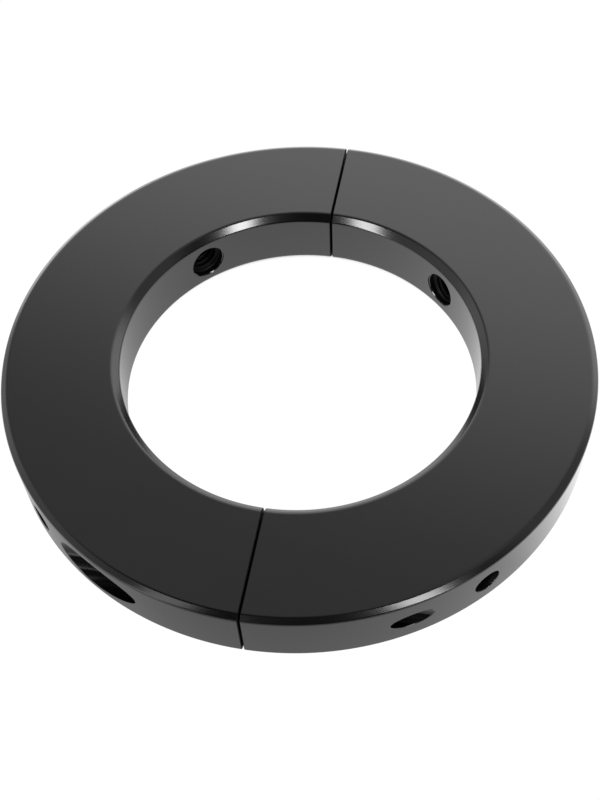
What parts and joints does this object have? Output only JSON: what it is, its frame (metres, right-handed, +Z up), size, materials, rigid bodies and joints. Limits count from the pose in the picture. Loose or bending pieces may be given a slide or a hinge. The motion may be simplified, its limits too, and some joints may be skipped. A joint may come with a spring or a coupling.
{
  "type": "split clamp ring",
  "caption": "Wide flat split ring in two halves that clamp screws pull together round a tube, with radial set screws through the ring wall.",
  "frame": {"origin": "on the bore's axis, at the ring's lower face", "axes": "+Z up along the bore; X across the split, so the halves part along X and both clamp screws lie along X; +Y to the rear end of the split"},
  "size_m": [0.125, 0.125, 0.0143],
  "materials": {
    "anodised_aluminium": "black anodised, fine turned satin",
    "black_oxide_steel": "black oxide, lightly oiled"
  },
  "bodies": {
    "left_half": {"half_ring_left": "anodised_aluminium"},
    "right_half": {"half_ring_right": "anodised_aluminium"},
    "front_clamp_screw": {"clamp_screw_front": "black_oxide_steel"},
    "rear_clamp_screw": {"clamp_screw_rear": "black_oxide_steel"},
    "left_front_set_screw": {"set_screw_left_front": "black_oxide_steel"},
    "left_rear_set_screw": {"set_screw_left_rear": "black_oxide_steel"},
    "right_front_set_screw": {"set_screw_right_front": "black_oxide_steel"},
    "right_rear_set_screw": {"set_screw_right_rear": "black_oxide_steel"}
  },
  "joints": [
    {"name": "halves_open", "type": "slide", "parent": "left_half", "child": "right_half", "axis": [1, 0, 0], "range_m": [0, 0.01]},
    {"name": "front_clamp_turn", "type": "hinge", "parent": "left_half", "child": "front_clamp_screw", "pos_m": [-0.0141, -0.054, 0.00715], "axis": [-1, 0, 0], "range_deg": [0, 4536]},
    {"name": "rear_clamp_turn", "type": "hinge", "parent": "right_half", "child": "rear_clamp_screw", "pos_m": [0.0141, 0.054, 0.00715], "axis": [1, 0, 0], "range_deg": [0, 4536]},
    {"name": "left_front_set_travel", "type": "slide", "parent": "left_half", "child": "left_front_set_screw", "axis": [0.7071, 0.7071, 0], "range_m": [0, 0.0085]},
    {"name": "left_rear_set_travel", "type": "slide", "parent": "left_half", "child": "left_rear_set_screw", "axis": [0.7071, -0.7071, 0], "range_m": [0, 0.0085]},
    {"name": "right_front_set_travel", "type": "slide", "parent": "right_half", "child": "right_front_set_screw", "axis": [-0.7071, 0.7071, 0], "range_m": [0, 0.0085]},
    {"name": "right_rear_set_travel", "type": "slide", "parent": "right_half", "child": "right_rear_set_screw", "axis": [-0.7071, -0.7071, 0], "range_m": [0, 0.0085]}
  ],
  "couplings": [
    {"joint": "front_clamp_turn", "follows": "halves_open", "rad_per_m": 7915.8},
    {"joint": "rear_clamp_turn", "follows": "halves_open", "rad_per_m": 7915.8}
  ]
}
